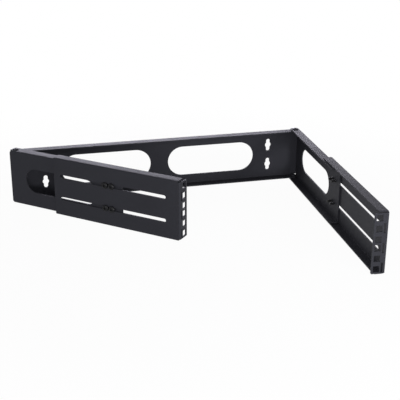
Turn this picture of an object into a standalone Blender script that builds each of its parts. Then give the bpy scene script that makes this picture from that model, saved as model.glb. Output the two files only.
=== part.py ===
# Hinged wall bracket with an open front for 19 inch rack equipment, two rack units high.
# A channel is fixed to the wall. An arm hangs on two rivets at each end of it, and a
# longer channel slides along each arm and carries the rack holes on a folded flange.
# Units are metres, +Z is up, the wall is the plane Y = 0 and the room is on the -Y side.

import math

import bmesh
import bpy
from mathutils import Matrix, Vector

MM = 0.001

# Steel sheet and its folds
SHEET = 2.0 * MM
FOLD_RADIUS = 2.4 * MM
FOLD_STEPS = 5

# Rack standard
HOLE_COLUMN_SPAN = 465.1 * MM
RACK_UNIT = 44.45 * MM
UNIT_COUNT = 2
UNIT_HOLE_HEIGHTS = (6.35 * MM, 22.225 * MM, 38.1 * MM)
RACK_HOLE_SIDE = 9.5 * MM

# Running gaps between pieces
SEAT_GAP = 0.3 * MM
HINGE_GAP = 0.5 * MM
SLIDE_GAP = 0.8 * MM
END_GAP = 0.5 * MM

# Wall channel
BACK_HEIGHT = 84.4 * MM
BACK_DEPTH = 16.0 * MM
BACK_WINDOW_BRIDGE = 29.6 * MM
BACK_WINDOW_LENGTH = 149.0 * MM
BACK_WINDOW_HEIGHT = 50.3 * MM
KEYHOLE_TO_WINDOW = 26.6 * MM
KEYHOLE_PITCH = 34.4 * MM
KEYHOLE_HEAD = 10.2 * MM
KEYHOLE_NECK = 6.6 * MM
KEYHOLE_HEIGHT = 21.0 * MM

# Hinged arm, measured along the arm from its pivot
PIVOT_TO_WALL = 10.5 * MM
PIVOT_TO_FACE = 8.2 * MM
ARM_DEPTH = 15.4 * MM
ARM_REACH = 205.0 * MM
ARM_TAIL = 6.2 * MM
ARM_TAIL_ROUND = 5.0 * MM
ARM_WINDOW_START = 23.0 * MM
ARM_WINDOW_HEIGHT = 39.8 * MM
ARM_WINDOW_TO_SCREW = 17.0 * MM

# Sliding front channel
FRONT_LENGTH = 225.2 * MM
FRONT_DEPTH = 15.2 * MM
FRONT_FLANGE = 21.0 * MM
FRONT_TAIL_ROUND = 2.0 * MM
FLANGE_RELIEF = 1.2 * MM
HOLE_TO_FACE = 13.5 * MM
SLOT_LEVEL = 18.6 * MM
SLOT_START = 10.6 * MM
SLOT_TO_FRONT = 24.1 * MM
SLOT_HEIGHT = 5.6 * MM
NARROW_SLOT_TO_FACE = 5.5 * MM
NARROW_SLOT_WIDTH = 3.0 * MM
NARROW_SLOT_LENGTH = 15.0 * MM
NARROW_SLOT_PITCH = 29.5 * MM
NARROW_SLOT_LEVEL = 22.8 * MM
NARROW_SLOT_COUNT = 3

# Rounded free corners of the flanges
FREE_CORNER = 3.0 * MM
FRONT_CORNER = 1.5 * MM
TONGUE_CORNER = 1.2 * MM

# Clamping screws, which are held by tapped holes in the arms
SCREW_ROW_TO_END = 29.0 * MM
SCREW_PITCH = 11.5 * MM
SCREW_RADIUS = 2.0 * MM
SCREW_LENGTH = 12.0 * MM
SCREW_TIP = 0.5 * MM
SCREW_HEAD_RADIUS = 5.2 * MM
SCREW_HEAD_RIM = 1.3 * MM
SCREW_HEAD_HEIGHT = 3.6 * MM
RECESS_LENGTH = 5.0 * MM
RECESS_WIDTH = 1.1 * MM
RECESS_DEPTH = 1.9 * MM

# Hinge rivets
RIVET_RADIUS = 2.5 * MM
RIVET_HEAD_RADIUS = 5.2 * MM
RIVET_HEAD_HEIGHT = 1.5 * MM
RIVET_DIMPLE_RADIUS = 1.5 * MM
RIVET_DIMPLE_DEPTH = 1.0 * MM
RIVET_TAIL_RADIUS = 3.8 * MM
RIVET_TAIL_HEIGHT = 1.8 * MM
RIVET_HOLLOW_RADIUS = 1.8 * MM
RIVET_HOLLOW_DEPTH = 3.0 * MM

# How the bracket stands: fold of each arm from square, travel of each front channel
LEFT_FOLD = math.radians(48.4)
RIGHT_FOLD = math.radians(1.4)
LEFT_TRAVEL = 80.8 * MM
RIGHT_TRAVEL = 157.9 * MM

# Sizes that follow from those above
ARM_HEIGHT = BACK_HEIGHT + 2 * (HINGE_GAP + SHEET)
FRONT_HEIGHT = ARM_HEIGHT + 2 * (SLIDE_GAP + SHEET)
FRONT_FACE = PIVOT_TO_FACE + SEAT_GAP + SHEET
PIVOT_X = HOLE_COLUMN_SPAN / 2 + HOLE_TO_FACE - FRONT_FACE
BACK_HALF_LENGTH = PIVOT_X + PIVOT_TO_FACE - SHEET - END_GAP
BACK_TONGUE = END_GAP + SHEET
BACK_CORNER = BACK_DEPTH - PIVOT_TO_WALL
KEYHOLE_SPAN = BACK_WINDOW_BRIDGE + 2 * (BACK_WINDOW_LENGTH + KEYHOLE_TO_WINDOW)
SCREW_ROW_START = ARM_REACH - SCREW_ROW_TO_END
ARM_WINDOW_LENGTH = SCREW_ROW_START - ARM_WINDOW_TO_SCREW - ARM_WINDOW_START
SLOT_LENGTH = FRONT_LENGTH - SLOT_START - SLOT_TO_FRONT
RIVET_HOLE_RADIUS = RIVET_RADIUS + SEAT_GAP
SCREW_HOLE_RADIUS = SCREW_RADIUS + SEAT_GAP

# How finely round shapes are drawn
HALF_ROUND_STEPS = 14
CORNER_STEPS = 4
DOME_STEPS = 5
TURN_STEPS = 24
MERGE = 0.01 * MM

# How far a cutter reaches to each side of the sheet that it cuts
CUT_REACH = 5.0 * MM

SIDES = (("left", -1, LEFT_FOLD, LEFT_TRAVEL), ("right", 1, RIGHT_FOLD, RIGHT_TRAVEL))
LEVELS = (("upper", 1), ("lower", -1))

# Turns that stand a flat outline up: in the web of an arm or of the wall channel, where
# the outline's Y becomes Z, and in the front flange, where its X also becomes Y
IN_WEB = Matrix.Rotation(math.pi / 2, 4, "X")
IN_FLANGE = Matrix(((0, 0, 1, 0), (1, 0, 0, 0), (0, 1, 0, 0), (0, 0, 0, 1)))
OTHER_HAND = Matrix.Diagonal((1, -1, 1, 1))


def clear_scene():
    for obj in list(bpy.data.objects):
        bpy.data.objects.remove(obj, do_unlink=True)


def new_collection(name):
    collection = bpy.data.collections.new(name)
    bpy.context.scene.collection.children.link(collection)
    return collection


def principled(name, colour, roughness, metallic=0.0):
    material = bpy.data.materials.new(name)
    material.use_nodes = True
    shader = material.node_tree.nodes["Principled BSDF"]
    shader.inputs["Base Color"].default_value = (*colour, 1.0)
    shader.inputs["Roughness"].default_value = roughness
    shader.inputs["Metallic"].default_value = metallic
    material.diffuse_color = (*colour, 1.0)
    return material


clear_scene()
BRACKET = new_collection("wall_bracket")
CUTTERS = new_collection("cutters")
POWDER_COAT = principled("black_powder_coat", (0.022, 0.022, 0.025), 0.45)
SCREW_FINISH = principled("black_screw", (0.012, 0.012, 0.013), 0.35, 0.6)
RIVET_FINISH = principled("black_rivet", (0.02, 0.02, 0.023), 0.4)


def add_piece(name, mesh, material, parent=None):
    mesh.materials.clear()
    mesh.materials.append(material)
    obj = bpy.data.objects.new(name, mesh)
    BRACKET.objects.link(obj)
    obj.parent = parent
    return obj


def add_empty(name, location, turn=0.0, parent=None):
    empty = bpy.data.objects.new(name, None)
    empty.location = location
    empty.rotation_euler = (0, 0, turn)
    empty.parent = parent
    BRACKET.objects.link(empty)
    return empty


def mesh_from(shape, name):
    mesh = bpy.data.meshes.new(name)
    shape.to_mesh(mesh)
    shape.free()
    return mesh


def bake(obj, name):
    """Takes the mesh that an object's modifiers or curve make, and removes the object."""
    bpy.context.view_layer.update()
    graph = bpy.context.evaluated_depsgraph_get()
    mesh = bpy.data.meshes.new_from_object(obj.evaluated_get(graph))
    mesh.name = name
    bpy.data.objects.remove(obj, do_unlink=True)
    return mesh


def scratch_object(name, data):
    obj = bpy.data.objects.new(name, data)
    CUTTERS.objects.link(obj)
    obj.hide_render = True
    obj.display_type = "WIRE"
    return obj


def smooth(mesh):
    mesh.shade_smooth()
    mesh.set_sharp_from_angle(angle=math.radians(35))
    return mesh


# Outlines

def arc(centre, radius, start, end, steps):
    """Points on an arc of a circle, both ends included, angles in degrees."""
    points = []
    for step in range(steps + 1):
        angle = math.radians(start + (end - start) * step / steps)
        points.append((centre[0] + radius * math.cos(angle), centre[1] + radius * math.sin(angle)))
    return points


def stadium(length, height):
    """A slot with round ends about the origin, its length along X."""
    radius = height / 2
    reach = length / 2 - radius
    left = arc((-reach, 0), radius, 90, 270, HALF_ROUND_STEPS)
    right = arc((reach, 0), radius, -90, 90, HALF_ROUND_STEPS)
    return left + right


def rectangle(width, height):
    return [(-width / 2, -height / 2), (width / 2, -height / 2), (width / 2, height / 2), (-width / 2, height / 2)]


def circle(radius, steps=TURN_STEPS):
    return arc((0, 0), radius, 0, 360 - 360 / steps, steps - 1)


def double_keyhole(head, neck, height):
    """A round head with a round-ended neck both above and below it."""
    neck_radius = neck / 2
    meeting = math.degrees(math.acos(neck / head))
    reach = height / 2 - neck_radius
    top = arc((0, reach), neck_radius, 0, 180, CORNER_STEPS * 2)
    left = arc((0, 0), head / 2, 180 - meeting, 180 + meeting, CORNER_STEPS * 2)
    bottom = arc((0, -reach), neck_radius, 180, 360, CORNER_STEPS * 2)
    right = arc((0, 0), head / 2, -meeting, meeting, CORNER_STEPS * 2)
    return top + left + bottom + right


def corner_waste(radius):
    """What rounding a square corner at the origin takes away, the sheet being at +X and +Y."""
    past = -CUT_REACH
    rounding = arc((radius, radius), radius, 270, 180, CORNER_STEPS)
    return [(past, past), (radius, past)] + rounding + [(past, radius)]


# Cutters

def cut_solid(outline, thickness):
    """A filled outline in X and Y with a thickness along Z, centred on Z = 0, as a closed mesh."""
    curve = bpy.data.curves.new("outline", "CURVE")
    curve.dimensions = "2D"
    curve.fill_mode = "BOTH"
    curve.extrude = thickness / 2
    spline = curve.splines.new("POLY")
    spline.points.add(len(outline) - 1)
    for point, (x, y) in zip(spline.points, outline):
        point.co = (x, y, 0.0, 1.0)
    spline.use_cyclic_u = True
    mesh = bake(scratch_object("outline", curve), "cut_solid")
    welded = bmesh.new()
    welded.from_mesh(mesh)
    bmesh.ops.remove_doubles(welded, verts=welded.verts, dist=MERGE)
    bmesh.ops.recalc_face_normals(welded, faces=welded.faces)
    return mesh_from(welded, "cut_solid")


def cut_out(piece, cuts, hand=1):
    """Takes several solids, each a mesh with its place in the piece, out of the piece."""
    joined = bmesh.new()
    for solid, place in cuts:
        placed = solid.copy()
        placed.transform(place)
        joined.from_mesh(placed)
    mesh = mesh_from(joined, piece.name + "_cuts")
    if hand < 0:
        mesh.transform(OTHER_HAND)
        mesh.flip_normals()
    cutter = scratch_object(piece.name + "_cutter", mesh)
    cutter.parent = piece
    add_boolean(piece, cutter, "DIFFERENCE")


def add_boolean(piece, other, operation):
    boolean = piece.modifiers.new(operation.lower(), "BOOLEAN")
    boolean.operation = operation
    boolean.solver = "EXACT"
    boolean.object = other


# Folded sheet

def channel_profile(height, depth, face):
    """The outer line of a channel's section in Y and Z, with its web at Y = face."""
    level = height / 2 - FOLD_RADIUS
    inset = face - FOLD_RADIUS
    upper = arc((inset, level), FOLD_RADIUS, 90, 0, FOLD_STEPS)
    lower = arc((inset, -level), FOLD_RADIUS, 0, -90, FOLD_STEPS)
    return [(face - depth, height / 2)] + upper + lower + [(face - depth, -height / 2)]


def extrude_edges(shape, edges, offset):
    result = bmesh.ops.extrude_edge_only(shape, edges=edges)["geom"]
    moved = [item for item in result if isinstance(item, bmesh.types.BMVert)]
    bmesh.ops.translate(shape, verts=moved, vec=Vector(offset))
    return [item for item in result if isinstance(item, bmesh.types.BMEdge)]


def channel_surface(height, depth, face, start, end):
    """The outer surface of a channel that runs along X."""
    shape = bmesh.new()
    corners = [shape.verts.new((start, y, z)) for y, z in channel_profile(height, depth, face)]
    edges = [shape.edges.new(pair) for pair in zip(corners, corners[1:])]
    extrude_edges(shape, edges, (end - start, 0, 0))
    return shape


def extend_web(shape, end, length):
    """Runs the flat web on past the folds at one end of a channel, and returns its new edge."""
    ends = [edge for edge in shape.edges if edge.is_boundary
            and all(abs(vert.co.x - end) < MERGE for vert in edge.verts)]
    web_edge = max(ends, key=lambda edge: edge.calc_length())
    return extrude_edges(shape, [web_edge], (length, 0, 0))


def round_corners(shape, radius, chosen):
    """Rounds the free corners of an open surface that the test chooses."""
    corners = [vert for vert in shape.verts if len(vert.link_edges) == 2 and chosen(vert.co)]
    bmesh.ops.bevel(shape, geom=corners, offset=radius, offset_type="OFFSET", segments=CORNER_STEPS,
                    profile=0.5, affect="VERTICES")


def sheet_piece(name, shape, hand, parent):
    """Gives an open surface the thickness of the sheet, inwards from its outer side."""
    bmesh.ops.recalc_face_normals(shape, faces=shape.faces)
    web = max(shape.faces, key=lambda face: face.calc_area())
    if web.normal.y < 0:
        bmesh.ops.reverse_faces(shape, faces=shape.faces)
    mesh = mesh_from(shape, name)
    if hand < 0:
        mesh.transform(OTHER_HAND)
        mesh.flip_normals()
    piece = add_piece(name, smooth(mesh), POWDER_COAT, parent)
    solidify = piece.modifiers.new("sheet", "SOLIDIFY")
    solidify.thickness = SHEET
    solidify.offset = -1
    solidify.use_even_offset = True
    solidify.use_quality_normals = True
    return piece


def tail_cuts(height, face, start, radius):
    """The waste at the two outer rear corners, where a channel's folds end."""
    waste = cut_solid(corner_waste(radius), 2 * FOLD_RADIUS)
    lower = Matrix.Translation((start, face, -height / 2)) @ IN_WEB
    upper = Matrix.Translation((start, face, height / 2)) @ Matrix.Diagonal((1, 1, -1, 1)) @ IN_WEB
    mirrored = waste.copy()
    mirrored.flip_normals()
    return [(waste, lower), (mirrored, upper)]


def build_back_plate():
    shape = channel_surface(BACK_HEIGHT, BACK_DEPTH, 0.0, -BACK_HALF_LENGTH, BACK_HALF_LENGTH)
    round_corners(shape, BACK_CORNER, lambda place: place.y < -BACK_DEPTH / 2)
    for side in (-1, 1):
        extend_web(shape, side * BACK_HALF_LENGTH, side * BACK_TONGUE)
    round_corners(shape, TONGUE_CORNER, lambda place: abs(place.x) > BACK_HALF_LENGTH + MERGE)
    plate = sheet_piece("back_plate", shape, 1, None)
    thickness = 2 * CUT_REACH
    window = cut_solid(stadium(BACK_WINDOW_LENGTH, BACK_WINDOW_HEIGHT), thickness)
    keyhole = cut_solid(double_keyhole(KEYHOLE_HEAD, KEYHOLE_NECK, KEYHOLE_HEIGHT), thickness)
    rivet_hole = cut_solid(circle(RIVET_HOLE_RADIUS), thickness)
    window_x = (BACK_WINDOW_BRIDGE + BACK_WINDOW_LENGTH) / 2
    cuts = []
    for side in (-1, 1):
        cuts.append((window, Matrix.Translation((side * window_x, 0, 0)) @ IN_WEB))
        for level in (-1, 1):
            keyhole_place = (side * KEYHOLE_SPAN / 2, 0, level * KEYHOLE_PITCH / 2)
            rivet_place = (side * PIVOT_X, -PIVOT_TO_WALL, level * BACK_HEIGHT / 2)
            cuts.append((keyhole, Matrix.Translation(keyhole_place) @ IN_WEB))
            cuts.append((rivet_hole, Matrix.Translation(rivet_place)))
    cut_out(plate, cuts)


def build_arm(side, hand, hinge):
    shape = channel_surface(ARM_HEIGHT, ARM_DEPTH, PIVOT_TO_FACE, -ARM_TAIL, ARM_REACH)
    round_corners(shape, FREE_CORNER, lambda place: place.y < 0)
    arm = sheet_piece(side + "_hinged_arm", shape, hand, hinge)
    thickness = 2 * CUT_REACH
    window = cut_solid(stadium(ARM_WINDOW_LENGTH, ARM_WINDOW_HEIGHT), thickness)
    screw_hole = cut_solid(circle(SCREW_HOLE_RADIUS), thickness)
    rivet_hole = cut_solid(circle(RIVET_HOLE_RADIUS), thickness)
    window_place = (ARM_WINDOW_START + ARM_WINDOW_LENGTH / 2, PIVOT_TO_FACE, 0)
    cuts = tail_cuts(ARM_HEIGHT, PIVOT_TO_FACE, -ARM_TAIL, ARM_TAIL_ROUND)
    cuts.append((window, Matrix.Translation(window_place) @ IN_WEB))
    for level in (-1, 1):
        cuts.append((rivet_hole, Matrix.Translation((0, 0, level * ARM_HEIGHT / 2))))
        for number in (0, 1):
            screw_place = (SCREW_ROW_START + number * SCREW_PITCH, PIVOT_TO_FACE, level * SLOT_LEVEL)
            cuts.append((screw_hole, Matrix.Translation(screw_place) @ IN_WEB))
    cut_out(arm, cuts, hand)


def front_surface():
    """A channel whose flat web runs on, past a relief, into a flange folded across the front."""
    fold_start = FRONT_LENGTH - FOLD_RADIUS
    channel_end = fold_start - FLANGE_RELIEF
    shape = channel_surface(FRONT_HEIGHT, FRONT_DEPTH, FRONT_FACE, 0.0, channel_end)
    round_corners(shape, FREE_CORNER, lambda place: place.y < 0)
    fold_edges = extend_web(shape, channel_end, FLANGE_RELIEF)
    spun = bmesh.ops.spin(shape, geom=fold_edges + list(fold_edges[0].verts), axis=(0, 0, 1),
                          cent=(fold_start, FRONT_FACE - FOLD_RADIUS, 0), angle=-math.pi / 2,
                          steps=FOLD_STEPS, use_merge=False)
    last_edge = [item for item in spun["geom_last"] if isinstance(item, bmesh.types.BMEdge)]
    extrude_edges(shape, last_edge, (0, FOLD_RADIUS - FRONT_FLANGE, 0))
    round_corners(shape, FRONT_CORNER, lambda place: place.x > FRONT_LENGTH - MERGE)
    return shape


def rack_hole_levels():
    middle = UNIT_COUNT * RACK_UNIT / 2
    return [unit * RACK_UNIT + height - middle for unit in range(UNIT_COUNT) for height in UNIT_HOLE_HEIGHTS]


def build_front_channel(side, hand, slide):
    channel = sheet_piece(side + "_front_channel", front_surface(), hand, slide)
    thickness = 2 * CUT_REACH
    slot = cut_solid(stadium(SLOT_LENGTH, SLOT_HEIGHT), thickness)
    rack_hole = cut_solid(rectangle(RACK_HOLE_SIDE, RACK_HOLE_SIDE), thickness)
    cuts = tail_cuts(FRONT_HEIGHT, FRONT_FACE, 0.0, FRONT_TAIL_ROUND)
    for level in (-1, 1):
        slot_place = (SLOT_START + SLOT_LENGTH / 2, FRONT_FACE, level * SLOT_LEVEL)
        cuts.append((slot, Matrix.Translation(slot_place) @ IN_WEB))
    for level in rack_hole_levels():
        hole_place = (FRONT_LENGTH, FRONT_FACE - HOLE_TO_FACE, level)
        cuts.append((rack_hole, Matrix.Translation(hole_place) @ IN_FLANGE))
    narrow = cut_solid(rectangle(NARROW_SLOT_WIDTH, NARROW_SLOT_LENGTH), thickness)
    for row in range(NARROW_SLOT_COUNT):
        level = NARROW_SLOT_LEVEL - row * NARROW_SLOT_PITCH
        narrow_place = (FRONT_LENGTH, FRONT_FACE - NARROW_SLOT_TO_FACE, level)
        cuts.append((narrow, Matrix.Translation(narrow_place) @ IN_FLANGE))
    cut_out(channel, cuts, hand)


# Turned pieces

def turned(profile, name):
    """Turns a profile of X and Z about the Z axis. The profile runs down its outer side."""
    shape = bmesh.new()
    corners = [shape.verts.new((x, 0, z)) for x, z in profile]
    for pair in zip(corners, corners[1:]):
        shape.edges.new(pair)
    obj = scratch_object(name, mesh_from(shape, name))
    screw = obj.modifiers.new("turn", "SCREW")
    screw.steps = TURN_STEPS
    screw.render_steps = TURN_STEPS
    screw.use_merge_vertices = True
    screw.merge_threshold = MERGE
    return obj


def dome(radius, base, height, inner=0.0):
    """The outline of a dome from its top, or from an inner radius, down to its rim."""
    first = math.asin(inner / radius)
    points = []
    for step in range(DOME_STEPS + 1):
        angle = first + (math.pi / 2 - first) * step / DOME_STEPS
        points.append((radius * math.sin(angle), base + (height - base) * math.cos(angle)))
    return points


def screw_mesh():
    """A pan head screw with a cross recess, its head's underside at Z = 0."""
    head = dome(SCREW_HEAD_RADIUS, SCREW_HEAD_RIM, SCREW_HEAD_HEIGHT)
    shank = [(SCREW_HEAD_RADIUS, 0), (SCREW_RADIUS, 0), (SCREW_RADIUS, SCREW_TIP - SCREW_LENGTH),
             (SCREW_RADIUS - SCREW_TIP, -SCREW_LENGTH), (0, -SCREW_LENGTH)]
    screw = turned(head + shank, "screw_blank")
    bars = []
    for length, width in ((RECESS_LENGTH, RECESS_WIDTH), (RECESS_WIDTH, RECESS_LENGTH)):
        bar = scratch_object("recess_bar", cut_solid(rectangle(length, width), 2 * RECESS_DEPTH))
        bar.location = (0, 0, SCREW_HEAD_HEIGHT)
        add_boolean(screw, bar, "DIFFERENCE")
        bars.append(bar)
    mesh = bake(screw, "screw")
    for bar in bars:
        bpy.data.objects.remove(bar, do_unlink=True)
    return smooth(mesh)


def rivet_mesh():
    """A domed rivet with a dimple in its head and a hollow tail, its head's underside at Z = 0."""
    grip = ARM_HEIGHT / 2 - BACK_HEIGHT / 2 + SHEET + 2 * SEAT_GAP
    end = -grip - RIVET_TAIL_HEIGHT
    floor = RIVET_HEAD_HEIGHT - RIVET_DIMPLE_DEPTH
    head = dome(RIVET_HEAD_RADIUS, 0, RIVET_HEAD_HEIGHT, RIVET_DIMPLE_RADIUS)
    profile = [(0, floor), (RIVET_DIMPLE_RADIUS, floor)] + head
    profile += [(RIVET_RADIUS, 0), (RIVET_RADIUS, -grip), (RIVET_TAIL_RADIUS, -grip)]
    profile += [(RIVET_TAIL_RADIUS, end), (RIVET_HOLLOW_RADIUS, end)]
    profile += [(RIVET_HOLLOW_RADIUS, end + RIVET_HOLLOW_DEPTH), (0, end + RIVET_HOLLOW_DEPTH)]
    return smooth(bake(turned(profile, "rivet_blank"), "rivet"))


def place_rivets(side, hand, mesh):
    for level, sign in (("top", 1), ("bottom", -1)):
        rivet = add_piece(side + "_hinge_rivet_" + level, mesh, RIVET_FINISH)
        rivet.location = (hand * PIVOT_X, -PIVOT_TO_WALL, sign * (ARM_HEIGHT / 2 + SEAT_GAP))
        rivet.rotation_euler = (0 if sign > 0 else math.pi, 0, 0)


def place_screws(side, hand, hinge, mesh):
    """Clamping screws through the slots, with their heads on the outer side."""
    for level, sign in LEVELS:
        for number in (0, 1):
            screw = add_piece(side + "_screw_" + level + "_" + str(number + 1), mesh, SCREW_FINISH, hinge)
            along = SCREW_ROW_START + number * SCREW_PITCH
            screw.location = (along, hand * (FRONT_FACE + SEAT_GAP), sign * SLOT_LEVEL)
            screw.rotation_euler = (-hand * math.pi / 2, 0, 0)


def build_bracket():
    build_back_plate()
    rivet = rivet_mesh()
    screw = screw_mesh()
    for side, hand, fold, travel in SIDES:
        turn = -math.pi / 2 - hand * fold
        hinge = add_empty(side + "_hinge", (hand * PIVOT_X, -PIVOT_TO_WALL, 0), turn)
        slide = add_empty(side + "_slide", (travel, 0, 0), parent=hinge)
        build_arm(side, hand, hinge)
        build_front_channel(side, hand, slide)
        place_rivets(side, hand, rivet)
        place_screws(side, hand, hinge, screw)


build_bracket()
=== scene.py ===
import math

import bmesh
import bpy
from mathutils import Matrix, Vector


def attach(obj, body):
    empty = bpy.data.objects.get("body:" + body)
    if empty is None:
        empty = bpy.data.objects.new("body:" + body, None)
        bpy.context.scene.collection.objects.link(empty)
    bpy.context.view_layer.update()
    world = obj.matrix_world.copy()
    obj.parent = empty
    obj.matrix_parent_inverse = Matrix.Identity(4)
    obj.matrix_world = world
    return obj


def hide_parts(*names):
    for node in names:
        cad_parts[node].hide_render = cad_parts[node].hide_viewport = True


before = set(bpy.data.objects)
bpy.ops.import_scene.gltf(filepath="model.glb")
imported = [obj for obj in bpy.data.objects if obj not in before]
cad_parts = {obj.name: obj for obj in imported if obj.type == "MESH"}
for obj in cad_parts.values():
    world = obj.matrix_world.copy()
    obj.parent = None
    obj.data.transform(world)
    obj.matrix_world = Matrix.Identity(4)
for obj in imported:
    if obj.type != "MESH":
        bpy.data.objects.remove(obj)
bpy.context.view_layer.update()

MM = 0.001

# The sizes of the bracket, as in the CAD source
SHEET = 2.0 * MM
FOLD_RADIUS = 2.4 * MM
SEAT_GAP = 0.3 * MM
BACK_HEIGHT = 84.4 * MM
BACK_DEPTH = 16.0 * MM
BACK_HALF_LENGTH = 241.25 * MM
BACK_CORNER = 5.5 * MM
BACK_WINDOW_BRIDGE = 29.6 * MM
BACK_WINDOW_LENGTH = 149.0 * MM
BACK_WINDOW_HEIGHT = 50.3 * MM
KEYHOLE_SPAN = 380.8 * MM
KEYHOLE_PITCH = 34.4 * MM
KEYHOLE_HEAD = 10.2 * MM
KEYHOLE_NECK = 6.6 * MM
KEYHOLE_HEIGHT = 21.0 * MM
PIVOT_X = 235.55 * MM
PIVOT_TO_WALL = 10.5 * MM
PIVOT_TO_FACE = 8.2 * MM
ARM_HEIGHT = 89.4 * MM
ARM_DEPTH = 15.4 * MM
ARM_REACH = 205.0 * MM
ARM_TAIL = 6.2 * MM
ARM_TAIL_ROUND = 5.0 * MM
ARM_WINDOW_START = 23.0 * MM
ARM_WINDOW_LENGTH = 136.0 * MM
ARM_WINDOW_HEIGHT = 39.8 * MM
FRONT_HEIGHT = 95.0 * MM
FRONT_FACE = 10.5 * MM
FRONT_LENGTH = 225.2 * MM
FRONT_DEPTH = 15.2 * MM
FRONT_FLANGE = 21.0 * MM
FRONT_TAIL_ROUND = 2.0 * MM
FLANGE_RELIEF = 1.2 * MM
HOLE_TO_FACE = 13.5 * MM
RACK_HOLE_SIDE = 9.5 * MM
RACK_HOLE_LEVELS = (-38.1 * MM, -22.225 * MM, -6.35 * MM, 6.35 * MM, 22.225 * MM, 38.1 * MM)
SLOT_LEVEL = 18.6 * MM
SLOT_START = 10.6 * MM
SLOT_LENGTH = 190.5 * MM
SLOT_HEIGHT = 5.6 * MM
NARROW_SLOT_TO_FACE = 5.5 * MM
NARROW_SLOT_WIDTH = 3.0 * MM
NARROW_SLOT_LENGTH = 15.0 * MM
NARROW_SLOT_LEVELS = (22.8 * MM, -6.7 * MM, -36.2 * MM)
FREE_CORNER = 3.0 * MM
FRONT_CORNER = 1.5 * MM
TONGUE_CORNER = 1.2 * MM
BACK_TONGUE = 2.5 * MM
SCREW_ROW_START = 176.0 * MM
SCREW_PITCH = 11.5 * MM
SCREW_RADIUS = 2.0 * MM
SCREW_HOLE_RADIUS = 2.3 * MM
SCREW_LENGTH = 12.0 * MM
SCREW_TIP = 0.5 * MM
SCREW_HEAD_RADIUS = 5.2 * MM
SCREW_HEAD_RIM = 1.3 * MM
SCREW_HEAD_HEIGHT = 3.6 * MM
RECESS_LENGTH = 5.0 * MM
RECESS_WIDTH = 1.1 * MM
RECESS_DEPTH = 1.9 * MM
RIVET_RADIUS = 2.5 * MM
RIVET_HOLE_RADIUS = 2.8 * MM
RIVET_HEAD_RADIUS = 5.2 * MM
RIVET_HEAD_HEIGHT = 1.5 * MM
RIVET_DIMPLE_RADIUS = 1.5 * MM
RIVET_DIMPLE_DEPTH = 1.0 * MM
RIVET_TAIL_RADIUS = 3.8 * MM
RIVET_TAIL_HEIGHT = 1.8 * MM
RIVET_HOLLOW_RADIUS = 1.8 * MM
RIVET_HOLLOW_DEPTH = 3.0 * MM
RIVET_GRIP = 5.1 * MM
LEFT_FOLD = math.radians(48.4)
RIGHT_FOLD = math.radians(1.4)
LEFT_TRAVEL = 80.8 * MM
RIGHT_TRAVEL = 157.9 * MM

# What the finer pieces add to the solids, with each rounding at its widest
THREAD_PITCH = 0.7 * MM
THREAD_DEPTH = 0.36 * MM
SHANK_TO_HEAD = 0.01 * MM
EDGE_ROUND = 0.3 * MM
SMALL_EDGE_ROUND = 0.18 * MM

# How finely the pieces are divided
FOLD_STEPS = 14
HALF_ROUND_STEPS = 40
CORNER_STEPS = 10
KEYHOLE_STEPS = 20
TURN_STEPS = 64
DOME_STEPS = 12
EDGE_STEPS = 3
THREAD_COLUMNS = 32
THREAD_ROWS_PER_TURN = 8
SHARP_ANGLE = math.radians(40)
MERGE = 0.005 * MM
SLIVER = 0.03 * MM
CUT_REACH = 5.0 * MM
CUT_THICKNESS = 2 * CUT_REACH

# How far each screw's recess is turned, in degrees: the first, each next one, upper or lower row
SPIN_FIRST = 17
SPIN_NEXT = 31
SPIN_ROW = 13

# Side, hand, fold of the arm and travel of the front channel
SIDES = (("left", -1, LEFT_FOLD, LEFT_TRAVEL), ("right", 1, RIGHT_FOLD, RIGHT_TRAVEL))

# These stand an outline drawn in x and y in a web or in a front flange, and make the other hand
IN_WEB = Matrix.Rotation(math.pi / 2, 4, "X")
IN_FLANGE = Matrix(((0, 0, 1, 0), (1, 0, 0, 0), (0, 1, 0, 0), (0, 0, 0, 1)))
OTHER_HAND = Matrix.Diagonal((1, -1, 1, 1))

# Finishes: colours, roughness from smoothest to roughest, sheen, and size of the noise per metre
COAT_DARK = (0.0155, 0.0157, 0.0190)
COAT_LIGHT = (0.0175, 0.0178, 0.0215)
COAT_TINT = (0.86, 0.86, 1.0)
COAT_ROUGHNESS = (0.52, 0.58)
COAT_SHEEN = 0.12
RIVET_ROUGHNESS = (0.44, 0.50)
RIVET_SHEEN = 0.16
COAT_PATCHES = 14.0
COAT_PEEL = 1400.0
COAT_BUMP = 0.12
SCREW_DARK = (0.004, 0.004, 0.005)
SCREW_LIGHT = (0.008, 0.008, 0.009)
SCREW_ROUGHNESS = (0.16, 0.30)
SCREW_SHEEN = 0.12
SCREW_PATCHES = 260.0
SCREW_GRAIN = 3200.0
SCREW_BUMP = 0.25
BUMP_DEPTH = 0.02 * MM
BROAD_DETAIL = 3.0
FINE_DETAIL = 2.0
NOISE_ROUGHNESS = 0.55
RAMP_ENDS = (0.35, 0.65)

# The photograph's camera, with its focal length as a share of the picture's width
CAMERA_PLACE = (-286.3668 * MM, -1453.3241 * MM, 524.4233 * MM)
CAMERA_YAW = math.radians(13.8123)
CAMERA_PITCH = math.radians(-21.8280)
CAMERA_ROLL = math.radians(0.1925)
CAMERA_FOCUS = 931.665 / 400
CAMERA_SENSOR = 36.0
CAMERA_NEAR = 0.05
CAMERA_FAR = 50.0

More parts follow.
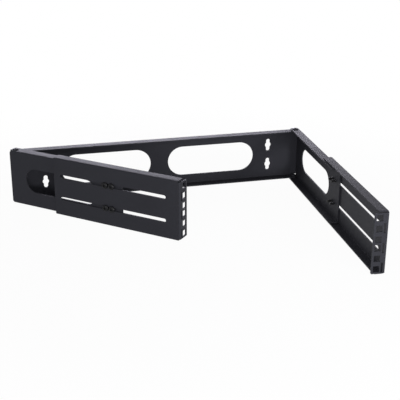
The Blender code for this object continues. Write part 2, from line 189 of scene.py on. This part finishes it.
# Floor and world: sizes in metres, shades from 0 to 1
FLOOR_LEVEL = -48.0 * MM
FLOOR_CENTRE_Y = -0.2
FLOOR_RADIUS = 6.0
FLOOR_SEGMENTS = 96
FLOOR_SHADE = (0.86, 0.86, 0.86)
FLOOR_NEAR = 0.3
FLOOR_FAR = 0.75
FLOOR_WHITE_SHARE = 0.96
WHITE = (1.0, 1.0, 1.0)
SOFT_LIGHT = (0.93, 0.94, 1.0)
SOFT_STRENGTH = 0.08
WHITE_STRENGTH = 1.0

# Lamps: name, place, target and size in metres, power in watts, colour
LILAC = (0.88, 0.85, 1.0)
LAMPS = (
    ("back", (0.2, 2.2, 0.45), (0.1, -0.1, 0), (2.0, 0.6), 45, LILAC),
    ("back_high", (0.2, 1.8, 1.3), (0.1, -0.1, 0), (2.0, 0.8), 6, LILAC),
    ("front_left", (-1.4, -1.5, 0.4), (0, -0.2, 0), (0.9, 0.9), 7, WHITE),
    ("front_high", (-0.1, -1.7, 1.2), (0.05, -0.2, 0), (0.9, 0.9), 11, WHITE),
    ("front_low", (-0.1, -1.7, 0.12), (0, -0.2, 0), (0.9, 0.3), 14, WHITE),
    ("near_right", (0.6, -1.05, 0.15), (0.2, -0.4, 0), (0.3, 0.3), 6, WHITE),
)


# Materials

def new_material(name):
    material = bpy.data.materials.new(name)
    material.use_nodes = True
    nodes = material.node_tree.nodes
    return material, nodes, material.node_tree.links, nodes["Principled BSDF"]


def opaque(colour):
    return (*colour, 1.0)


def noise(nodes, links, scale, detail):
    place = nodes.new("ShaderNodeTexCoord")
    texture = nodes.new("ShaderNodeTexNoise")
    texture.inputs["Scale"].default_value = scale
    texture.inputs["Detail"].default_value = detail
    texture.inputs["Roughness"].default_value = NOISE_ROUGHNESS
    links.new(place.outputs["Object"], texture.inputs["Vector"])
    return texture.outputs["Fac"]


def ramp(nodes, links, value, low, high):
    """A smooth run between two colours."""
    node = nodes.new("ShaderNodeValToRGB")
    for element, place, colour in zip(node.color_ramp.elements, RAMP_ENDS, (low, high)):
        element.position = place
        element.color = opaque(colour)
    links.new(value, node.inputs["Fac"])
    return node.outputs["Color"]


def level_ramp(nodes, links, value, levels):
    """A smooth run between two numbers, which the ramp holds as greys."""
    low, high = ((level, level, level) for level in levels)
    return ramp(nodes, links, value, low, high)


def add_bump(nodes, links, shader, height, strength):
    bump = nodes.new("ShaderNodeBump")
    bump.inputs["Strength"].default_value = strength
    bump.inputs["Distance"].default_value = BUMP_DEPTH
    links.new(height, bump.inputs["Height"])
    links.new(bump.outputs["Normal"], shader.inputs["Normal"])


def coated_steel(name, roughness, sheen):
    """Black powder coat: nearly even colour, a fine orange peel and a slightly uneven sheen."""
    material, nodes, links, shader = new_material(name)
    patches = noise(nodes, links, COAT_PATCHES, BROAD_DETAIL)
    peel = noise(nodes, links, COAT_PEEL, FINE_DETAIL)
    links.new(ramp(nodes, links, patches, COAT_DARK, COAT_LIGHT), shader.inputs["Base Color"])
    links.new(level_ramp(nodes, links, patches, roughness), shader.inputs["Roughness"])
    add_bump(nodes, links, shader, peel, COAT_BUMP)
    shader.inputs["Specular IOR Level"].default_value = sheen
    shader.inputs["Specular Tint"].default_value = opaque(COAT_TINT)
    return material


def powder_coat():
    return coated_steel("powder_coat", COAT_ROUGHNESS, COAT_SHEEN)


def rivet_coat():
    """The same coat, a little smoother."""
    return coated_steel("rivet_coat", RIVET_ROUGHNESS, RIVET_SHEEN)


def screw_steel():
    """Oiled black steel: darker in places, with a fine grain."""
    material, nodes, links, shader = new_material("screw_steel")
    patches = noise(nodes, links, SCREW_PATCHES, BROAD_DETAIL)
    grain = noise(nodes, links, SCREW_GRAIN, FINE_DETAIL)
    links.new(ramp(nodes, links, patches, SCREW_DARK, SCREW_LIGHT), shader.inputs["Base Color"])
    links.new(level_ramp(nodes, links, grain, SCREW_ROUGHNESS), shader.inputs["Roughness"])
    add_bump(nodes, links, shader, grain, SCREW_BUMP)
    shader.inputs["Specular IOR Level"].default_value = SCREW_SHEEN
    return material


FINISHES = {
    "black_powder_coat": powder_coat(),
    "black_rivet": rivet_coat(),
    "black_screw": screw_steel(),
}


# Meshes

def link(obj):
    bpy.context.scene.collection.objects.link(obj)
    return obj


def mesh_from(shape, name):
    mesh = bpy.data.meshes.new(name)
    shape.to_mesh(mesh)
    shape.free()
    return mesh


def bake(obj, name):
    """Takes the mesh that an object's modifiers or curve make, and removes the object."""
    bpy.context.view_layer.update()
    graph = bpy.context.evaluated_depsgraph_get()
    mesh = bpy.data.meshes.new_from_object(obj.evaluated_get(graph))
    mesh.name = name
    bpy.data.objects.remove(obj, do_unlink=True)
    return mesh


def arc(centre, radius, start, end, steps):
    """Points on an arc from one angle to another, in degrees."""
    points = []
    for step in range(steps + 1):
        angle = math.radians(start + (end - start) * step / steps)
        points.append((centre[0] + radius * math.cos(angle), centre[1] + radius * math.sin(angle)))
    return points


def stadium(length, height):
    """A slot with round ends."""
    radius = height / 2
    reach = length / 2 - radius
    left = arc((-reach, 0), radius, 90, 270, HALF_ROUND_STEPS)
    right = arc((reach, 0), radius, -90, 90, HALF_ROUND_STEPS)
    return left + right


def rectangle(width, height):
    across = width / 2
    up = height / 2
    return [(-across, -up), (across, -up), (across, up), (-across, up)]


def circle(radius):
    return arc((0, 0), radius, 0, 360 - 360 / TURN_STEPS, TURN_STEPS - 1)


def double_keyhole(head, neck, height):
    """A round hole for a screw's head with a round-ended slot running up and down from it."""
    neck_radius = neck / 2
    meeting = math.degrees(math.acos(neck / head))
    reach = height / 2 - neck_radius
    top = arc((0, reach), neck_radius, 0, 180, KEYHOLE_STEPS)
    left = arc((0, 0), head / 2, 180 - meeting, 180 + meeting, KEYHOLE_STEPS)
    bottom = arc((0, -reach), neck_radius, 180, 360, KEYHOLE_STEPS)
    right = arc((0, 0), head / 2, -meeting, meeting, KEYHOLE_STEPS)
    return top + left + bottom + right


def corner_waste(radius):
    """What is cut away to round a corner that stands at the origin."""
    past = -CUT_REACH
    rounding = arc((radius, radius), radius, 270, 180, CORNER_STEPS)
    return [(past, past), (radius, past)] + rounding + [(past, radius)]


def cut_solid(outline, thickness):
    """A closed solid with the outline's shape, with half its thickness either side of it."""
    curve = bpy.data.curves.new("outline", "CURVE")
    curve.dimensions = "2D"
    curve.fill_mode = "BOTH"
    curve.extrude = thickness / 2
    spline = curve.splines.new("POLY")
    spline.points.add(len(outline) - 1)
    for point, (x, y) in zip(spline.points, outline):
        point.co = (x, y, 0.0, 1.0)
    spline.use_cyclic_u = True
    mesh = bake(link(bpy.data.objects.new("outline", curve)), "cut_solid")
    welded = bmesh.new()
    welded.from_mesh(mesh)
    bmesh.ops.remove_doubles(welded, verts=welded.verts, dist=MERGE)
    bmesh.ops.recalc_face_normals(welded, faces=welded.faces)
    return mesh_from(welded, "cut_solid")


def take_away(piece, other):
    boolean = piece.modifiers.new("cut", "BOOLEAN")
    boolean.operation = "DIFFERENCE"
    boolean.solver = "EXACT"
    boolean.object = other


def extrude_edges(shape, edges, offset):
    """Draws edges out into faces and gives the new edges back."""
    result = bmesh.ops.extrude_edge_only(shape, edges=edges)["geom"]
    moved = [item for item in result if isinstance(item, bmesh.types.BMVert)]
    bmesh.ops.translate(shape, verts=moved, vec=Vector(offset))
    return [item for item in result if isinstance(item, bmesh.types.BMEdge)]


def channel_surface(height, depth, face, start, end):
    """The outer surface of a C section that lies along x, with its web at y = face."""
    level = height / 2 - FOLD_RADIUS
    inset = face - FOLD_RADIUS
    upper = arc((inset, level), FOLD_RADIUS, 90, 0, FOLD_STEPS)
    lower = arc((inset, -level), FOLD_RADIUS, 0, -90, FOLD_STEPS)
    profile = [(face - depth, height / 2)] + upper + lower + [(face - depth, -height / 2)]
    shape = bmesh.new()
    corners = [shape.verts.new((start, y, z)) for y, z in profile]
    edges = [shape.edges.new(pair) for pair in zip(corners, corners[1:])]
    extrude_edges(shape, edges, (end - start, 0, 0))
    return shape


def extend_web(shape, end, length):
    """Draws the web's edge at x = end out by a length, and gives the new edges back."""
    ends = [edge for edge in shape.edges if edge.is_boundary
            and all(abs(vert.co.x - end) < MERGE for vert in edge.verts)]
    web_edge = max(ends, key=lambda edge: edge.calc_length())
    return extrude_edges(shape, [web_edge], (length, 0, 0))


def round_corners(shape, radius, chosen):
    """Rounds the sheet's free corners where chosen says so."""
    corners = [vert for vert in shape.verts if len(vert.link_edges) == 2 and chosen(vert.co)]
    bmesh.ops.bevel(shape, geom=corners, offset=radius, offset_type="OFFSET", segments=CORNER_STEPS,
                    profile=0.5, affect="VERTICES")


def sheet_mesh(name, shape, cuts, hand):
    """Gives an open surface its thickness, takes the cuts out, welds slivers and rounds edges."""
    bmesh.ops.recalc_face_normals(shape, faces=shape.faces)
    web = max(shape.faces, key=lambda face: face.calc_area())
    if web.normal.y < 0:
        bmesh.ops.reverse_faces(shape, faces=shape.faces)
    joined = bmesh.new()
    for solid, place in cuts:
        placed = solid.copy()
        placed.transform(place)
        joined.from_mesh(placed)
    mesh = mesh_from(shape, name)
    cut_mesh = mesh_from(joined, name + "_cuts")
    if hand < 0:
        for each in (mesh, cut_mesh):
            each.transform(OTHER_HAND)
            each.flip_normals()
    mesh.shade_smooth()
    cut_mesh.shade_smooth()
    sheet = link(bpy.data.objects.new(name, mesh))
    cutter = link(bpy.data.objects.new(name + "_cutter", cut_mesh))
    solidify = sheet.modifiers.new("sheet", "SOLIDIFY")
    solidify.thickness = SHEET
    solidify.offset = -1
    solidify.use_even_offset = True
    solidify.use_quality_normals = True
    take_away(sheet, cutter)
    weld = sheet.modifiers.new("weld", "WELD")
    weld.merge_threshold = SLIVER
    round_edges(sheet, EDGE_ROUND)
    baked = bake(sheet, name)
    bpy.data.objects.remove(cutter, do_unlink=True)
    return baked


def round_edges(obj, width):
    """Rounds every sharp edge of a piece, all of them by less where close ones would overlap."""
    bevel = obj.modifiers.new("edges", "BEVEL")
    bevel.width = width
    bevel.segments = EDGE_STEPS
    bevel.limit_method = "ANGLE"
    bevel.angle_limit = SHARP_ANGLE
    bevel.harden_normals = True
    bevel.use_clamp_overlap = True


def tail_cuts(height, face, start, radius):
    """Cuts that round the web's two corners at the end of a channel."""
    waste = cut_solid(corner_waste(radius), 2 * FOLD_RADIUS)
    lower = Matrix.Translation((start, face, -height / 2)) @ IN_WEB
    upper = Matrix.Translation((start, face, height / 2)) @ Matrix.Diagonal((1, 1, -1, 1)) @ IN_WEB
    mirrored = waste.copy()
    mirrored.flip_normals()
    return [(waste, lower), (mirrored, upper)]


def back_plate_mesh():
    shape = channel_surface(BACK_HEIGHT, BACK_DEPTH, 0.0, -BACK_HALF_LENGTH, BACK_HALF_LENGTH)
    round_corners(shape, BACK_CORNER, lambda place: place.y < -BACK_DEPTH / 2)
    for side in (-1, 1):
        extend_web(shape, side * BACK_HALF_LENGTH, side * BACK_TONGUE)
    round_corners(shape, TONGUE_CORNER, lambda place: abs(place.x) > BACK_HALF_LENGTH + MERGE)
    window = cut_solid(stadium(BACK_WINDOW_LENGTH, BACK_WINDOW_HEIGHT), CUT_THICKNESS)
    outline = double_keyhole(KEYHOLE_HEAD, KEYHOLE_NECK, KEYHOLE_HEIGHT)
    keyhole = cut_solid(outline, CUT_THICKNESS)
    rivet_hole = cut_solid(circle(RIVET_HOLE_RADIUS), CUT_THICKNESS)
    window_x = (BACK_WINDOW_BRIDGE + BACK_WINDOW_LENGTH) / 2
    cuts = []
    for side in (-1, 1):
        cuts.append((window, Matrix.Translation((side * window_x, 0, 0)) @ IN_WEB))
        for level in (-1, 1):
            keyhole_place = (side * KEYHOLE_SPAN / 2, 0, level * KEYHOLE_PITCH / 2)
            rivet_place = (side * PIVOT_X, -PIVOT_TO_WALL, level * BACK_HEIGHT / 2)
            cuts.append((keyhole, Matrix.Translation(keyhole_place) @ IN_WEB))
            cuts.append((rivet_hole, Matrix.Translation(rivet_place)))
    return sheet_mesh("back_plate_fine", shape, cuts, 1)


def arm_mesh(side, hand):
    shape = channel_surface(ARM_HEIGHT, ARM_DEPTH, PIVOT_TO_FACE, -ARM_TAIL, ARM_REACH)
    round_corners(shape, FREE_CORNER, lambda place: place.y < 0)
    window = cut_solid(stadium(ARM_WINDOW_LENGTH, ARM_WINDOW_HEIGHT), CUT_THICKNESS)
    screw_hole = cut_solid(circle(SCREW_HOLE_RADIUS), CUT_THICKNESS)
    rivet_hole = cut_solid(circle(RIVET_HOLE_RADIUS), CUT_THICKNESS)
    window_place = (ARM_WINDOW_START + ARM_WINDOW_LENGTH / 2, PIVOT_TO_FACE, 0)
    cuts = tail_cuts(ARM_HEIGHT, PIVOT_TO_FACE, -ARM_TAIL, ARM_TAIL_ROUND)
    cuts.append((window, Matrix.Translation(window_place) @ IN_WEB))
    for level in (-1, 1):
        cuts.append((rivet_hole, Matrix.Translation((0, 0, level * ARM_HEIGHT / 2))))
        for number in (0, 1):
            screw_place = (SCREW_ROW_START + number * SCREW_PITCH, PIVOT_TO_FACE, level * SLOT_LEVEL)
            cuts.append((screw_hole, Matrix.Translation(screw_place) @ IN_WEB))
    return sheet_mesh(side + "_hinged_arm_fine", shape, cuts, hand)


def front_surface():
    """A channel whose web runs on past the relief cut and is folded across the front."""
    fold_start = FRONT_LENGTH - FOLD_RADIUS
    channel_end = fold_start - FLANGE_RELIEF
    shape = channel_surface(FRONT_HEIGHT, FRONT_DEPTH, FRONT_FACE, 0.0, channel_end)
    round_corners(shape, FREE_CORNER, lambda place: place.y < 0)
    fold_edges = extend_web(shape, channel_end, FLANGE_RELIEF)
    spun = bmesh.ops.spin(shape, geom=fold_edges + list(fold_edges[0].verts), axis=(0, 0, 1),
                          cent=(fold_start, FRONT_FACE - FOLD_RADIUS, 0), angle=-math.pi / 2,
                          steps=FOLD_STEPS, use_merge=False)
    last_edge = [item for item in spun["geom_last"] if isinstance(item, bmesh.types.BMEdge)]
    extrude_edges(shape, last_edge, (0, FOLD_RADIUS - FRONT_FLANGE, 0))
    round_corners(shape, FRONT_CORNER, lambda place: place.x > FRONT_LENGTH - MERGE)
    return shape


def front_mesh(side, hand):
    slot = cut_solid(stadium(SLOT_LENGTH, SLOT_HEIGHT), CUT_THICKNESS)
    rack_hole = cut_solid(rectangle(RACK_HOLE_SIDE, RACK_HOLE_SIDE), CUT_THICKNESS)
    cuts = tail_cuts(FRONT_HEIGHT, FRONT_FACE, 0.0, FRONT_TAIL_ROUND)
    for level in (-1, 1):
        slot_place = (SLOT_START + SLOT_LENGTH / 2, FRONT_FACE, level * SLOT_LEVEL)
        cuts.append((slot, Matrix.Translation(slot_place) @ IN_WEB))
    for level in RACK_HOLE_LEVELS:
        hole_place = (FRONT_LENGTH, FRONT_FACE - HOLE_TO_FACE, level)
        cuts.append((rack_hole, Matrix.Translation(hole_place) @ IN_FLANGE))
    narrow = cut_solid(rectangle(NARROW_SLOT_WIDTH, NARROW_SLOT_LENGTH), CUT_THICKNESS)
    for level in NARROW_SLOT_LEVELS:
        narrow_place = (FRONT_LENGTH, FRONT_FACE - NARROW_SLOT_TO_FACE, level)
        cuts.append((narrow, Matrix.Translation(narrow_place) @ IN_FLANGE))
    return sheet_mesh(side + "_front_channel_fine", front_surface(), cuts, hand)


def turned(profile, name):
    """An object whose mesh is the profile turned about z."""
    shape = bmesh.new()
    corners = [shape.verts.new((x, 0, z)) for x, z in profile]
    for pair in zip(corners, corners[1:]):
        shape.edges.new(pair)
    obj = link(bpy.data.objects.new(name, mesh_from(shape, name)))
    screw = obj.modifiers.new("turn", "SCREW")
    screw.steps = TURN_STEPS
    screw.render_steps = TURN_STEPS
    screw.use_merge_vertices = True
    screw.merge_threshold = MERGE
    return obj


def dome(radius, base, height, inner=0.0):
    """The profile of a dome from the inner radius out and down to its base."""
    first = math.asin(inner / radius)
    points = []
    for step in range(DOME_STEPS + 1):
        angle = first + (math.pi / 2 - first) * step / DOME_STEPS
        points.append((radius * math.sin(angle), base + (height - base) * math.cos(angle)))
    return points


def thread_radius(z, turn, bottom):
    """The radius at a height and a part of a turn, drawn in towards the tip."""
    taper = max(0.0, SCREW_TIP - (z - bottom))
    phase = (z / THREAD_PITCH + turn) % 1.0
    groove = THREAD_DEPTH * abs(2 * phase - 1)
    return min(SCREW_RADIUS - groove, SCREW_RADIUS - taper)


def threaded_shank(top, bottom):
    """A round bar whose surface winds in and out as a thread does, closed at both ends."""
    shape = bmesh.new()
    rows = round((top - bottom) / THREAD_PITCH * THREAD_ROWS_PER_TURN)
    rings = []
    for row in range(rows + 1):
        z = top + (bottom - top) * row / rows
        ring = []
        for column in range(THREAD_COLUMNS):
            turn = column / THREAD_COLUMNS
            radius = thread_radius(z, turn, bottom)
            angle = 2 * math.pi * turn
            ring.append(shape.verts.new((radius * math.cos(angle), radius * math.sin(angle), z)))
        rings.append(ring)
    for upper, lower in zip(rings, rings[1:]):
        for column in range(THREAD_COLUMNS):
            after = (column + 1) % THREAD_COLUMNS
            shape.faces.new((upper[column], lower[column], lower[after], upper[after]))
    shape.faces.new(rings[0])
    shape.faces.new(rings[-1][::-1])
    bmesh.ops.recalc_face_normals(shape, faces=shape.faces)
    for face in shape.faces:
        face.smooth = len(face.verts) == 4
    return mesh_from(shape, "shank")


def recess_bar(length, width):
    solid = cut_solid(rectangle(length, width), 2 * RECESS_DEPTH)
    bar = link(bpy.data.objects.new("recess_bar", solid))
    bar.location = (0, 0, SCREW_HEAD_HEIGHT)
    return bar


def screw_head_mesh():
    head = dome(SCREW_HEAD_RADIUS, SCREW_HEAD_RIM, SCREW_HEAD_HEIGHT)
    blank = turned(head + [(SCREW_HEAD_RADIUS, 0), (0, 0)], "screw_head")
    bars = (recess_bar(RECESS_LENGTH, RECESS_WIDTH), recess_bar(RECESS_WIDTH, RECESS_LENGTH))
    for bar in bars:
        take_away(blank, bar)
    round_edges(blank, SMALL_EDGE_ROUND)
    head_mesh = bake(blank, "screw_head")
    for bar in bars:
        bpy.data.objects.remove(bar, do_unlink=True)
    return smooth(head_mesh)


def screw_mesh():
    shank = threaded_shank(-SHANK_TO_HEAD, -SCREW_LENGTH)
    return joined_mesh([screw_head_mesh(), shank], "screw_fine")


def rivet_mesh():
    end = -RIVET_GRIP - RIVET_TAIL_HEIGHT
    floor = RIVET_HEAD_HEIGHT - RIVET_DIMPLE_DEPTH
    head = dome(RIVET_HEAD_RADIUS, 0, RIVET_HEAD_HEIGHT, RIVET_DIMPLE_RADIUS)
    profile = [(0, floor), (RIVET_DIMPLE_RADIUS, floor)] + head
    profile += [(RIVET_RADIUS, 0), (RIVET_RADIUS, -RIVET_GRIP), (RIVET_TAIL_RADIUS, -RIVET_GRIP)]
    profile += [(RIVET_TAIL_RADIUS, end), (RIVET_HOLLOW_RADIUS, end)]
    profile += [(RIVET_HOLLOW_RADIUS, end + RIVET_HOLLOW_DEPTH), (0, end + RIVET_HOLLOW_DEPTH)]
    rivet = turned(profile, "rivet_blank")
    round_edges(rivet, SMALL_EDGE_ROUND)
    return smooth(bake(rivet, "rivet_fine"))


def smooth(mesh):
    mesh.shade_smooth()
    mesh.set_sharp_from_angle(angle=SHARP_ANGLE)
    return mesh


def joined_mesh(meshes, name):
    joined = bmesh.new()
    for mesh in meshes:
        joined.from_mesh(mesh)
    return mesh_from(joined, name)


# Placing

def add_piece(node, mesh, place, body, slot):
    mesh.materials.clear()
    mesh.materials.append(FINISHES[slot])
    obj = link(bpy.data.objects.new(node + "_fine", mesh))
    obj.matrix_world = place
    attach(obj, body)
    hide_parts(node)


def add_sheets(side, hand, hinge, travel):
    slide = hinge @ Matrix.Translation((travel, 0, 0))
    add_piece(side + "_hinged_arm", arm_mesh(side, hand), hinge, side + "_arm", "black_powder_coat")
    add_piece(side + "_front_channel", front_mesh(side, hand), slide, side + "_front", "black_powder_coat")


def add_rivets(side, hand, rivet):
    for level, sign in (("top", 1), ("bottom", -1)):
        seat = (hand * PIVOT_X, -PIVOT_TO_WALL, sign * (ARM_HEIGHT / 2 + SEAT_GAP))
        over = Matrix.Rotation(0 if sign > 0 else math.pi, 4, "X")
        place = Matrix.Translation(seat) @ over
        add_piece(side + "_hinge_rivet_" + level, rivet, place, "back", "black_rivet")


def add_screws(side, hand, hinge, screw):
    lying = Matrix.Rotation(-hand * math.pi / 2, 4, "X")
    for level, sign in (("upper", 1), ("lower", -1)):
        for number in (0, 1):
            along = SCREW_ROW_START + number * SCREW_PITCH
            seat = (along, hand * (FRONT_FACE + SEAT_GAP), sign * SLOT_LEVEL)
            turn = math.radians(SPIN_FIRST + SPIN_NEXT * number + SPIN_ROW * sign)
            place = hinge @ Matrix.Translation(seat) @ lying @ Matrix.Rotation(turn, 4, "Z")
            node = side + "_screw_" + level + "_" + str(number + 1)
            add_piece(node, screw, place, side + "_arm", "black_screw")


def dress_side(side, hand, fold, travel, rivet, screw):
    turn = -math.pi / 2 - hand * fold
    pivot = Matrix.Translation((hand * PIVOT_X, -PIVOT_TO_WALL, 0))
    hinge = pivot @ Matrix.Rotation(turn, 4, "Z")
    add_sheets(side, hand, hinge, travel)
    add_rivets(side, hand, rivet)
    add_screws(side, hand, hinge, screw)


def dress():
    add_piece("back_plate", back_plate_mesh(), Matrix.Identity(4), "back", "black_powder_coat")
    rivet = rivet_mesh()
    screw = screw_mesh()
    for side, hand, fold, travel in SIDES:
        dress_side(side, hand, fold, travel, rivet, screw)


# Camera, light and floor

def add_camera():
    flat = math.cos(CAMERA_PITCH)
    ahead = Vector((math.sin(CAMERA_YAW) * flat, math.cos(CAMERA_YAW) * flat, math.sin(CAMERA_PITCH)))
    across = Vector((math.cos(CAMERA_YAW), -math.sin(CAMERA_YAW), 0.0))
    above = across.cross(ahead)
    right = across * math.cos(CAMERA_ROLL) + above * math.sin(CAMERA_ROLL)
    up = above * math.cos(CAMERA_ROLL) - across * math.sin(CAMERA_ROLL)
    data = bpy.data.cameras.new("camera")
    data.sensor_width = CAMERA_SENSOR
    data.lens = CAMERA_SENSOR * CAMERA_FOCUS
    data.clip_start = CAMERA_NEAR
    data.clip_end = CAMERA_FAR
    camera = link(bpy.data.objects.new("camera", data))
    turn = Matrix((right, up, -ahead)).transposed().to_4x4()
    camera.matrix_world = Matrix.Translation(CAMERA_PLACE) @ turn
    bpy.context.scene.camera = camera


def add_lamp(name, place, target, size, power, colour):
    data = bpy.data.lights.new(name, "AREA")
    data.shape = "RECTANGLE"
    data.size = size[0]
    data.size_y = size[1]
    data.energy = power
    data.color = colour
    lamp = link(bpy.data.objects.new(name, data))
    lamp.location = place
    lamp.rotation_euler = (Vector(target) - Vector(place)).to_track_quat("-Z", "Y").to_euler()


def seen_directly(nodes, links):
    """1 for camera, glossy and transmission rays, which show the background, and 0 for others."""
    rays = nodes.new("ShaderNodeLightPath")
    total = rays.outputs["Is Camera Ray"]
    for name in ("Is Glossy Ray", "Is Transmission Ray"):
        add = nodes.new("ShaderNodeMath")
        add.operation = "MAXIMUM"
        links.new(total, add.inputs[0])
        links.new(rays.outputs[name], add.inputs[1])
        total = add.outputs[0]
    return total


def background(nodes, colour, strength):
    node = nodes.new("ShaderNodeBackground")
    node.inputs["Color"].default_value = opaque(colour)
    node.inputs["Strength"].default_value = strength
    return node


def mix_by(nodes, links, share, first, second):
    """Mixes two shaders by a share, which is 0 for the first and 1 for the second."""
    mix = nodes.new("ShaderNodeMixShader")
    links.new(share, mix.inputs["Fac"])
    links.new(first.outputs[0], mix.inputs[1])
    links.new(second.outputs[0], mix.inputs[2])
    return mix


def add_world():
    world = bpy.data.worlds.new("studio")
    bpy.context.scene.world = world
    world.use_nodes = True
    nodes = world.node_tree.nodes
    links = world.node_tree.links
    nodes.clear()
    output = nodes.new("ShaderNodeOutputWorld")
    soft = background(nodes, SOFT_LIGHT, SOFT_STRENGTH)
    white = background(nodes, WHITE, WHITE_STRENGTH)
    mix = mix_by(nodes, links, seen_directly(nodes, links), soft, white)
    links.new(mix.outputs[0], output.inputs["Surface"])


def share_by_distance(nodes, links):
    """How much of the floor's own white shows: a little less near the object than far from it."""
    place = nodes.new("ShaderNodeTexCoord")
    distance = nodes.new("ShaderNodeVectorMath")
    distance.operation = "LENGTH"
    links.new(place.outputs["Object"], distance.inputs[0])
    reach = nodes.new("ShaderNodeMapRange")
    reach.interpolation_type = "SMOOTHSTEP"
    reach.inputs["From Min"].default_value = FLOOR_NEAR
    reach.inputs["From Max"].default_value = FLOOR_FAR
    reach.inputs["To Min"].default_value = FLOOR_WHITE_SHARE
    reach.inputs["To Max"].default_value = 1.0
    links.new(distance.outputs["Value"], reach.inputs["Value"])
    return reach.outputs["Result"]


def floor_material():
    material = bpy.data.materials.new("floor")
    material.use_nodes = True
    nodes = material.node_tree.nodes
    links = material.node_tree.links
    nodes.clear()
    output = nodes.new("ShaderNodeOutputMaterial")
    pale = nodes.new("ShaderNodeBsdfDiffuse")
    pale.inputs["Color"].default_value = opaque(FLOOR_SHADE)
    white = nodes.new("ShaderNodeEmission")
    white.inputs["Strength"].default_value = WHITE_STRENGTH
    share = nodes.new("ShaderNodeMath")
    share.operation = "MULTIPLY"
    links.new(seen_directly(nodes, links), share.inputs[0])
    links.new(share_by_distance(nodes, links), share.inputs[1])
    mix = mix_by(nodes, links, share.outputs[0], pale, white)
    links.new(mix.outputs[0], output.inputs["Surface"])
    return material


def add_floor():
    """A pale floor that keeps a soft shadow near the object and runs out into plain white."""
    shape = bmesh.new()
    bmesh.ops.create_circle(shape, cap_ends=True, segments=FLOOR_SEGMENTS, radius=FLOOR_RADIUS)
    floor = link(bpy.data.objects.new("floor", mesh_from(shape, "floor")))
    floor.location = (0, FLOOR_CENTRE_Y, FLOOR_LEVEL)
    floor.data.materials.append(floor_material())


dress()
add_camera()
add_world()
add_floor()
for lamp in LAMPS:
    add_lamp(*lamp)
bpy.context.scene.view_settings.view_transform = "Standard"
